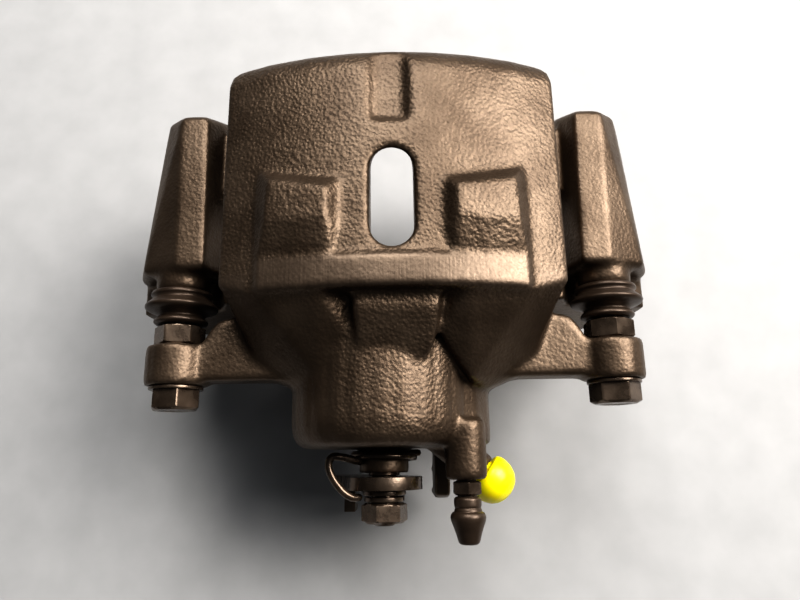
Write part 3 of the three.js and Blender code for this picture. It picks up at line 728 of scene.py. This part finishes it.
def casting(node, passes, rounds, bores, ground, smooth):
    """A cast piece. Ground and smooth are functions that give the paint's two masks."""
    piece = new_piece(f"{node}_casting", frame["nodes"][node].data.copy(), node)
    remesh = piece.modifiers.new("remesh", "REMESH")
    remesh.mode = "VOXEL"
    remesh.voxel_size = VOXEL_MM * MM
    applied(piece)
    mesh = piece.data
    if "sharp_edge" in mesh.attributes:
        mesh.attributes.remove(mesh.attributes["sharp_edge"])
    cut = near_bores(positions(mesh), bores)
    relax(mesh, SETTLE_PASSES, np.ones(len(cut)))
    true_up(mesh, rounds)
    relax(mesh, passes, 1 - CUT_HOLD * cut)
    mask = ground(positions(mesh))
    roughen(mesh, (1 - mask) * (1 - cut))
    paint_mask(mesh, "ground", mask)
    paint_mask(mesh, "smooth", np.maximum(cut, smooth(positions(mesh))))
    mesh.polygons.foreach_set("use_smooth", [True] * len(mesh.polygons))
    return riding(piece, node)


def wheel_round(radius_mm):
    """A round face about the wheel's axis."""
    return (0.0, WHEEL_Z, radius_mm * MM, *ALL_Y)


def bore_round(radius_mm, y0=-1.0, y1=1.0):
    """A round face about the bore's axis, from y0 to y1 in metres."""
    return (BORE.x, BORE.z, radius_mm * MM, y0, y1)


def pin_round(side, radius_mm, y0=-1.0, y1=1.0):
    """A round face about one slide pin's axis."""
    pin = middle(f"pin_bolt_{side}")
    return (pin.x, pin.z, radius_mm * MM, y0, y1)


def caliper_ground(points):
    """1 where the shelves and the crest were ground, 0 on the cast skin."""
    x, y, z = points.T
    height = np.hypot(x, z - WHEEL_Z)
    on_top = soft_band(height, 138.4 * MM, 139 * MM, 140 * MM, 140.8 * MM)
    near_crest = soft_band(
        y, CREST_Y - 1.5 * MM, CREST_Y + 0.3 * MM, CREST_Y + 8.5 * MM, CREST_Y + 11 * MM,
    )
    corners = soft_step(np.abs(x), 43 * MM, 45 * MM)
    corners *= 1 - soft_step(y, CREST_Y + 5 * MM, CREST_Y + 8 * MM)
    raised = soft_step(height, 137.2 * MM, 137.8 * MM)
    return near_crest * np.maximum(on_top, 0.7 * corners * raised)


def caliper_smooth(points):
    """1 on the sloped shoulders and the arms, which are cast finer than the bridge."""
    x, y, _ = points.T
    inboard = 1 - soft_step(y, CREST_Y - 5 * MM, CREST_Y - 1 * MM)
    return inboard * soft_step(np.abs(x), 15 * MM, 20 * MM)


def nowhere(points):
    return np.zeros(len(points))


def everywhere(points):
    return np.ones(len(points))


def caliper_casting():
    """The caliper's body, machined at the bore's mouth, the holes for shaft and bleed screw, and the ears."""
    rounds = [wheel_round(r) for r in (BRIDGE_R, PAD_TOP_R, SHELF_R, BRIDGE_INNER_R)]
    rounds += [
        bore_round(r)
        for r in (CYLINDER_R, BORE_R, CUP_BORE_R, BOOT_SEAT_R, SHAFT_BOSS_R, SHAFT_HOLE_R)
    ]
    mouth_y = -0.5 * MM
    boss_face_y = -51.8 * MM
    bolt_hole_r = 5
    screw_hole_r = 4.2
    bores = [
        bore_round(BOOT_SEAT_R, y1=mouth_y),
        bore_round(SHAFT_BOSS_R + 0.2, y1=boss_face_y),
    ]
    for side in SIDES:
        rounds.append(pin_round(side, EAR_R))
        bores.append(pin_round(side, bolt_hole_r))
    screw = middle("bleed_screw")
    rounds.append((screw.x, screw.z, BLEED_BOSS_R * MM, *ALL_Y))
    bores.append((screw.x, screw.z, screw_hole_r * MM, *ALL_Y))
    casting("caliper_body", 4, rounds, bores, caliper_ground, caliper_smooth)


def bracket_casting():
    """The mounting bracket. It is machined round the pins' necks and the knuckle's bolt holes."""
    rounds = [wheel_round(DISC_SLOT_R)]
    bores = []
    neck_y = 4 * MM
    lug_hole_r = 7.5
    for side in SIDES:
        rounds.append(pin_round(side, NECK_R))
        bores.append(pin_round(side, NECK_R, y1=neck_y))
    for side in SIDES:
        x = MOUNTS[f"knuckle_lug_{side}"]["pos_m"][0]
        bores.append((x, 0.0, lug_hole_r * MM, *ALL_Y))
        rounds.append((x, 0.0, LUG_R * MM, *ALL_Y))
    casting("mounting_bracket", 3, rounds, bores, nowhere, everywhere)


# ---- pins, bolts and boots ----
# Profiles are (radius, along the axis from the piece's inboard end) in mm.
def pin_bolt(side):
    """A flanged bolt in the end of a slide pin."""
    node = f"pin_bolt_{side}"
    head = rounded([(0, 0.35), (4.4, 0.3), (5.2, 0.02), (6.4, 0), (8.1, 1.0), (8.1, 6.3), (7.6, 6.35)], 0.3)
    shank = rounded([
        (7.6, 6.35), (8.5, 6.5), (8.5, 7.5), (3.6, 7.5), (3.6, 38), (2.9, 38.8), (0, 38.8),
    ], 0.25)
    riding(turned(node, with_flats(head, PIN_FLATS, BOLT_TURN[side]) + shank[1:], segments=120), node)


def slide_pin(side):
    """A slide pin with a hexagon, and a groove for the rubber bush on the left one."""
    node = f"slide_pin_{side}"
    hole = rounded([(0, 20.4), (3.9, 18.9), (3.9, 0.5), (4.4, 0), (6.6, 0)], 0.2)
    flats = rounded([(6.6, 0), (8.1, 0.8), (8.1, 5.9), (6.6, 6.55), (5, 6.6)], 0.3)
    tip = [(5.5, 65.9), (4.5, 66.9), (0, 66.9)]
    if side == "left":
        tip = [(5.5, 55.9), (4.4, 55.9), (4.4, 64.4), (5.5, 64.4)] + tip
    start = [(5, 6.6), (5, 9.5), (5.5, 10.1), (5.5, 32.9), (5.1, 33.3), (5.1, 40.5), (5.5, 40.9)]
    shank = rounded(start + tip, 0.25)
    hexagon = with_flats(flats, PIN_FLATS, PIN_TURN[side])
    riding(turned(node, hole + hexagon[1:] + shank[1:], segments=120), node)


def pin_boot(side):
    """A bellows from the pin to the bracket's neck, which on the car stretches as the caliper slides. Here it
    is one fixed shape.
    """
    node = f"pin_boot_{side}"
    profile = flowing([
        (5.3, 0.3), (6.4, 0.02), (7.7, 0.15), (8.55, 0.9), (8.3, 1.9), (7.5, 2.6), (7.6, 3.3), (8.8, 4.1),
        (10.7, 4.8), (11.5, 5.5), (11.5, 6.4), (10.4, 7.5), (9.5, 8.4), (9.5, 9.2), (9.9, 10), (9.5, 11),
        (8.4, 11.2), (7.3, 10.9), (7.2, 9.4), (7.3, 7.8), (8.7, 6.5), (8.8, 5.7), (7.6, 4.7), (6.4, 3.9),
        (5.9, 2.8), (5.4, 2), (5.3, 1.1),
    ])
    piece = turned(node, profile, segments=96)
    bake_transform(piece)


def pin_hardware():
    for side in SIDES:
        pin_bolt(side)
        slide_pin(side)
        pin_boot(side)
    bush = flowing([(4.7, 0.2), (5.4, 0), (5.6, 1), (5.6, 3.9), (5.6, 6.9), (5.4, 7.9), (4.7, 7.7), (4.6, 4)])
    riding(turned("pin_bush", bush), "pin_bush")


# ---- piston and its seals ----
def piston_boot():
    """The dust boot, as one fixed shape. On the car its outer edge stays with the caliper and its lip moves
    with the piston.
    """
    node = "piston_boot"
    profile = flowing([
        (22.3, 0.2), (22.9, 0.1), (23.5, 0.5), (24.4, 1.6), (25.4, 0.4), (26.4, 0), (27.6, 0.1), (27.6, 1.3),
        (26.6, 1.6), (25.7, 2.6), (24.6, 3.1), (23.6, 2.6), (23.2, 1.7), (22.5, 1.5), (22.3, 0.9),
    ])
    piece = turned(node, profile, segments=128)
    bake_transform(piece)
    points = positions(piece.data)


def piston():
    """A hollow piston with a groove for the boot's lip and two slots to wind it back by."""
    node = "piston"
    profile = rounded([
        (0, 24.8), (12, 24.8), (16, 24.8), (17, 26.3), (23, 26.3), (23, 25.2), (22, 24.8), (22, 22.6),
        (23.7, 22.2), (23.7, 0.9), (22.8, 0), (19, 0), (19, 11.9), (12.3, 11.9), (12.3, 12.6), (13.3, 12.6),
        (13.3, 13.8), (12.3, 13.8), (12.3, 20.2), (12, 20.8), (0, 20.8),
    ], 0.35)
    piece = turned(node, profile, segments=128)
    centre = middle(node)
    slot_size = (56, 3, 4.4)
    slot_at = (centre.x, high(node).y - 0.1 * MM, centre.z)
    for turn in (0, TAU / 4):
        cut_by(piece, boxed(slot_size, slot_at, turn))
    riding(piece, node)


def cylinder_front():
    """The seal, the boot and its ring, and the piston."""
    sleeve("piston_seal", 24, 26.6, 2.6, radius=0.25, segments=128)
    sleeve("boot_retaining_ring", 26.6, 27.7, 1.2, radius=0.3, segments=128)
    piston_boot()
    piston()


# ---- the lever and what holds it ----
def lever_nut():
    """A chamfered hexagon nut."""
    node = "lever_nut"
    start = rounded([(4.3, 3), (4.3, 0.5), (4.8, 0.05), (6, 0)], 0.2)
    flats = rounded([(6, 0), (7.6, 0.9), (7.6, 5.4), (6.1, 6.2)], 0.3)
    end = rounded([(6.1, 6.2), (4.7, 6.2), (4.3, 5.8), (4.3, 3)], 0.2)
    hexagon = with_flats(flats, NUT_FLATS, NUT_TURN)
    riding(turned(node, start + hexagon[1:] + end[1:], segments=120), node)


def lever_washers():
    """The plain washer and the split one under the nut."""
    sleeve("lever_washer", 4.3, 7, 1.4, radius=0.25)
    split_ring("lever_spring_washer", 4.3, 6.6, 1.4, gap_deg=7, gap_at_deg=20, rise=0.3)


def lever_shaft():
    """The cam shaft, with three grooves for the ramp balls in its plate."""
    node = "lever_shaft"
    profile = rounded([
        (0, 0.25), (3.1, 0), (4, 0.9), (4, 15.4), (5, 15.4), (5, 29.3), (13.6, 29.3), (13.6, 32.9), (0, 32.9),
    ], 0.3)
    piece = turned(node, profile, segments=96)
    for ball in BALLS:
        cut_by(piece, ball_groove(ball, -BALL_TRAVEL, 0.0))
    riding(piece, node)


def ball_groove(ball, shift, slope_mm):
    """The swept round shape that one ball's groove is cut with. slope_mm is its change of depth."""
    centre = middle(ball)
    reach = math.hypot(centre.x - BORE.x, centre.z - BORE.z)
    rest = math.atan2(centre.z - BORE.z, centre.x - BORE.x) + shift - GROOVE_MARGIN
    sweep = BALL_TRAVEL + 2 * GROOVE_MARGIN
    steps = 24
    path = []
    for i in range(steps + 1):
        angle = rest + sweep * i / steps
        path.append(Vector((
            BORE.x + reach * math.cos(angle),
            centre.y + slope_mm * MM * (0.5 - i / steps),
            BORE.z + reach * math.sin(angle),
        )))
    return swept(path, GROOVE_R * MM)


def lever_outline(tip):
    """The plate's outline in metres, as (x, z): the hub's circle and the tip's, joined by tangents."""
    lean = math.asin((LEVER_HUB_R - LEVER_TIP_R) / LEVER_REACH)
    hub_arc = arc(LEVER_REST + lean, LEVER_REST + math.pi - lean, 40)
    tip_arc = arc(LEVER_REST + math.pi - lean, LEVER_REST + TAU + lean, 24)
    outline = [(BORE.x, BORE.z, LEVER_HUB_R, angle) for angle in hub_arc]
    outline += [(tip.x, tip.z, LEVER_TIP_R, angle) for angle in tip_arc]
    return [(x + r * MM * math.cos(angle), z + r * MM * math.sin(angle)) for x, z, r, angle in outline]


def fork_block(tip, front, back):
    """The solid lump at the lever's tip that the cable's slot is cut in."""
    near = [(x, back - 9 * MM, z) for x in (-2, 2) for z in (-7, 7)]
    far = [(x, front - 1 * MM, z) for x in (-2, 2) for z in (-5, 5)]
    bm = bmesh.new()
    for x, y, z in near + far:
        bm.verts.new((tip.x + x * MM, y, tip.z + z * MM))
    bmesh.ops.convex_hull(bm, input=bm.verts)
    return finished(bm)


def lever_plate():
    """The parking lever: a forged plate with a hub, and a fork for the cable's end."""
    node = "parking_lever"
    down = Vector((math.sin(LEVER_REST), 0, -math.cos(LEVER_REST)))
    tip = down * LEVER_REACH * MM + Vector((BORE.x, 0, BORE.z))
    front = high(node).y
    back = front - LEVER_THICK * MM
    bm = bmesh.new()
    face = bm.faces.new([bm.verts.new((x, front, z)) for x, z in lever_outline(tip)])
    side = bmesh.ops.extrude_face_region(bm, geom=[face])["geom"]
    moved = [v for v in side if isinstance(v, bmesh.types.BMVert)]
    bmesh.ops.translate(bm, verts=moved, vec=(0, -LEVER_THICK * MM, 0))
    plate = new_piece(f"{node}_forged", finished(bm), node)
    cut_by(plate, fork_block(tip, front, back), "UNION")
    cable_slot = (10, 4.6, 13.5)
    cut_by(plate, boxed(cable_slot, (tip.x, back - 4.7 * MM, tip.z - 5.25 * MM)))
    shaft_hole = [(0, -1), (4.3, -1), (4.3, 10), (0, 10)]
    cut_by(plate, revolved(shaft_hole, Vector((BORE.x, back - 2 * MM, BORE.z)), segments=64))
    bevel = plate.modifiers.new("bevel", "BEVEL")
    bevel.width = 0.6 * MM
    bevel.segments = 3
    bevel.limit_method = "ANGLE"
    bevel.angle_limit = math.radians(35)
    applied(plate)
    plate.data.set_sharp_from_angle(angle=math.radians(SHARP_DEG))
    riding(plate, node)


def return_spring():
    """The lever's torsion spring: a short leg on the cast stop, a coil round the boss, and a hook."""
    node = "return_spring"
    shape = coil_points(9.7, -73.6, -76, -TAU / 4, -1.35)
    leg = [(11.2, -73.5, -9.8), (6, -73.5, -9.75)]
    hook = [
        (-13.4, -74.7, 9.4), (-15.6, -74.6, 9.8), (-16.8, -75.8, 10), (-16.9, -78, 10),
        (-15.9, -80.6, 9.8), (-14.2, -83.2, 9.4), (-12, -85.6, 8.8), (-9.8, -86.9, 7.8), (-7.9, -87, 6.6),
    ]
    points = [from_bore(p) for p in leg + shape + hook]
    piece = wire(node, smooth_path(points, 4), 1.2 * MM)
    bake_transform(piece)


def from_bore(point):
    """A place in metres from millimetres about the bore axis, with y from the disc's middle plane."""
    x, y, z = point
    return Vector((BORE.x + x * MM, DISC_Y + y * MM, BORE.z + z * MM))


def coil_points(radius, y0, y1, start, turns):
    """A coil about the bore axis, in mm, from an angle and over a number of turns."""
    count = round(abs(turns) * 40)
    points = []
    for i in range(count + 1):
        angle = start + TAU * turns * i / count
        points.append((radius * math.cos(angle), y0 + (y1 - y0) * i / count, radius * math.sin(angle)))
    return points


def bleed_screw():
    """A bleed screw with a barbed nipple, a hexagon and a coned end."""
    node = "bleed_screw"
    nipple = rounded([
        (0, 3), (0.9, 2.6), (0.9, 0.2), (1.2, 0), (2.6, 0), (3.3, 1), (2.5, 2.6), (2.5, 7.2), (3, 8.2),
        (3, 11.9), (3.6, 11.85),
    ], 0.22)
    flats = rounded([(3.6, 11.85), (4.8, 12.4), (4.8, 15.4), (3.6, 15.9)], 0.25)
    thread = rounded([
        (3.6, 15.9), (3, 15.95), (3, 17.2), (3.3, 17.8), (3.3, 29.2), (1, 31.6), (0, 31.6),
    ], 0.22)
    riding(turned(node, nipple + with_flats(flats, 8, 0)[1:] + thread[1:]), node)


def bleed_cap():
    """The rubber cap on the nipple."""
    bar("bleed_cap", [
        (0, 0.15), (2.3, 0), (3.1, 0.5), (4, 3.6), (5.15, 6.7), (5.35, 7.9), (4.9, 9), (4.15, 9.3), (4.1, 10),
        (3.8, 10.4), (4.1, 10.9), (4.1, 13), (3.5, 13.6), (3.3, 13.5), (3.3, 9.4), (3.6, 8.4), (3.6, 2.2),
        (0, 1.8),
    ], 0.5)


def port_plug():
    """The cap in the hose port. Its domed tip is the point furthest along the port's axis."""
    node = "port_plug"
    axis = Vector(JOINT["port_plug_pull"]["axis"])
    tip = max((v.co for v in frame["nodes"][node].data.vertices), key=lambda place: place.dot(axis))
    profile = rounded([
        (0, -9), (3.8, -9), (4.3, -8), (4.3, 0.3), (6.7, 0.3), (7.5, 1.5), (7.7, 3.4), (7.35, 5.8),
        (6.2, 8.2), (4.4, 9.9), (2.3, 10.8), (0, 11.1),
    ], 0.7)
    tip_along = profile[-1][1]
    mesh = revolved(profile, tip - axis * tip_along * MM, axis)
    riding(new_piece(f"{node}_turned", mesh, node), node)


# ---- inside the cylinder ----
def shaft_fittings():
    """What holds and guides the shaft and the push rod: bush, seal, spring, its cup and circlip, two pins."""
    sleeve("shaft_bush", 5.3, 6.6, 9.2)
    bar("shaft_seal", [(5.4, 0.9), (5.2, 0), (6.6, 0), (6.6, 1.8), (5.6, 1.8), (5.4, 0.9)])
    bar("spring_cup", [
        (6.6, 14.3), (6.6, 13.9), (16.2, 13.9), (16.2, 0), (19.1, 0), (19.1, 0.8), (17, 0.8), (17, 14.7),
        (6.6, 14.7), (6.6, 14.3),
    ], 0.5)
    split_ring("cup_circlip", 17.4, 20.8, 1.3, gap_deg=28, gap_at_deg=0)
    for number in (1, 2):
        bar(f"anti_turn_pin_{number}", [(0, 0), (1.4, 0), (1.4, 8), (0, 8)])
    points = [from_bore(p) for p in coil_points(12, -56.4, -43.6, 0, 4)]
    spring = wire("adjuster_spring", points, 1.1 * MM)
    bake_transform(spring)


def adjuster():
    """The nut, bearing and clutch spring that take up the pads' wear, held in the piston by a circlip."""
    bar("adjuster_nut", [
        (4.8, 2.7), (4.8, 0), (7.4, 0), (7.4, 4), (10.6, 4), (10.6, 5.4), (4.8, 5.4), (4.8, 2.7),
    ])
    sleeve("adjuster_bearing", 5.4, 10.6, 0.7)
    points = [from_bore(p) for p in coil_points(9, -38.5, -36.1, 0, 2)]
    riding(wire("clutch_spring", points, 0.4 * MM), "clutch_spring")
    split_ring("piston_circlip", 9.9, 12.9, 0.8, gap_deg=34, gap_at_deg=0)


def ball_set():
    """The three balls and the cage that spaces them."""
    profile = [(BALL_R * math.sin(a), BALL_R - BALL_R * math.cos(a)) for a in arc(0, math.pi, 24)]
    profile = [(0, 0)] + profile[1:-1] + [(0, 2 * BALL_R)]
    for ball in BALLS:
        riding(turned(ball, profile, segments=48), ball)
    cage = turned("ball_cage", rounded(ring_section(5.5, 12.6, 0.8), 0.2))
    for ball in BALLS:
        cut_by(cage, post(2.8, 6, middle(ball)))
    riding(cage, "ball_cage")


def push_rod():
    """A plate with two ears and three ramps, on a threaded stem."""
    node = "push_rod"
    groove = ((4.5, 0), (4.05, 0.45), (4.05, 0.7), (4.5, 1.15))
    thread = [(r, 9 + i * 1.5 + rise) for i in range(11) for r, rise in groove]
    stem = [(0, 0), (13, 0), (13, 3.2), (4.5, 3.2)] + thread + [(4.5, 26.4), (3.8, 27.1), (0, 27.1)]
    piece = turned(node, rounded(stem, 0.2), segments=96)
    plate = Vector((BORE.x, low(node).y + 1.6 * MM, BORE.z))
    cut_by(piece, boxed((36, 3.2, 9.2), plate), "UNION")
    for number in (1, 2):
        cut_by(piece, post(1.8, 8, Vector((middle(f"anti_turn_pin_{number}").x, plate.y, BORE.z))))
    for ball in BALLS:
        cut_by(piece, ball_groove(ball, 0.0, 0.6))
    riding(piece, node)


# ---- the pieces ----
caliper_casting()
bracket_casting()
pin_hardware()
cylinder_front()
lever_nut()
lever_washers()
lever_shaft()
lever_plate()
return_spring()
bleed_screw()
bleed_cap()
port_plug()
shaft_fittings()
adjuster()
ball_set()
push_rod()


# ---- studio ----
def studio_floor():
    """A wide pale floor just under the part."""
    size = 3.0
    gap = 0.2 * MM
    floor_z = cad_bounds[0][2] - gap
    mesh = bpy.data.meshes.new("floor")
    corners = [(-size, -size, floor_z), (size, -size, floor_z), (size, size, floor_z), (-size, size, floor_z)]
    mesh.from_pydata(corners, [], [(0, 1, 2, 3)])
    floor = bpy.data.objects.new("floor", mesh)
    bpy.context.scene.collection.objects.link(floor)
    n = Nodes("pale floor")
    fine = n.noise(scale=60, detail=3.0)
    n.set(Base_Color=n.ramp(fine, 0.3, 0.7, (0.4, 0.405, 0.41), (0.44, 0.445, 0.45)), Roughness=0.75)
    mesh.materials.append(n.material)


def area_light(name, place, size, power, colour):
    """A round light that shines at the bore. Place and size are in metres, power in watts."""
    light = bpy.data.lights.new(name, "AREA")
    light.shape = "DISK"
    light.size = size
    light.energy = power
    light.color = colour
    holder = bpy.data.objects.new(name, light)
    bpy.context.scene.collection.objects.link(holder)
    holder.location = place
    holder.rotation_euler = (BORE - Vector(place)).to_track_quat("-Z", "Y").to_euler()


def sky_light(toward, strength):
    """A broad distant light, so that the floor stays pale right to the horizon."""
    light = bpy.data.lights.new("distant", "SUN")
    light.energy = strength
    light.angle = math.radians(40)
    holder = bpy.data.objects.new("distant", light)
    bpy.context.scene.collection.objects.link(holder)
    holder.rotation_euler = Vector(toward).to_track_quat("Z", "Y").to_euler()


def surroundings(lighting, looked_at):
    """A pale backdrop with one strength as it lights the part and another as the camera sees it."""
    world = bpy.data.worlds.new("world")
    world.use_nodes = True
    tree = world.node_tree
    seen = tree.nodes.new("ShaderNodeLightPath").outputs["Is Camera Ray"]
    strength = tree.nodes.new("ShaderNodeMapRange")
    strength.inputs["To Min"].default_value = lighting
    strength.inputs["To Max"].default_value = looked_at
    tree.links.new(seen, strength.inputs["Value"])
    background = tree.nodes["Background"]
    background.inputs["Color"].default_value = (0.85, 0.88, 0.92, 1)
    tree.links.new(strength.outputs["Result"], background.inputs["Strength"])
    bpy.context.scene.world = world


def camera():
    """Looks at the part as the photo does: from above, a little inboard, and slightly rolled."""
    data = bpy.data.cameras.new("camera")
    data.sensor_width = 36
    data.lens = 27.9
    holder = bpy.data.objects.new("camera", data)
    bpy.context.scene.collection.objects.link(holder)
    tilt = math.radians(14.5)
    roll = math.radians(0.9)
    disc_middle = Vector((0, 27.5 * MM, 40 * MM))
    from_disc = Vector((2.02, -75.97, 209.42)) * MM
    holder.location = disc_middle + from_disc
    holder.rotation_mode = "QUATERNION"
    view = Vector((0, math.sin(tilt), -math.cos(tilt)))
    turn = view.to_track_quat("-Z", "Y")
    holder.rotation_quaternion = Quaternion(view, roll) @ turn
    bpy.context.scene.camera = holder


studio_floor()
camera()
sky_light(toward=(0.5, 0.35, 0.8), strength=0.5)
area_light("key", place=(0.6, 0.3, 0.66), size=0.6, power=10.5, colour=(1.0, 0.95, 0.9))
area_light("top", place=(-0.05, 0.7, 0.85), size=0.6, power=7.5, colour=(1.0, 0.97, 0.94))
surroundings(lighting=0.08, looked_at=0.6)
bpy.context.scene.view_settings.view_transform = "Standard"
bpy.context.scene.view_settings.look = "High Contrast"
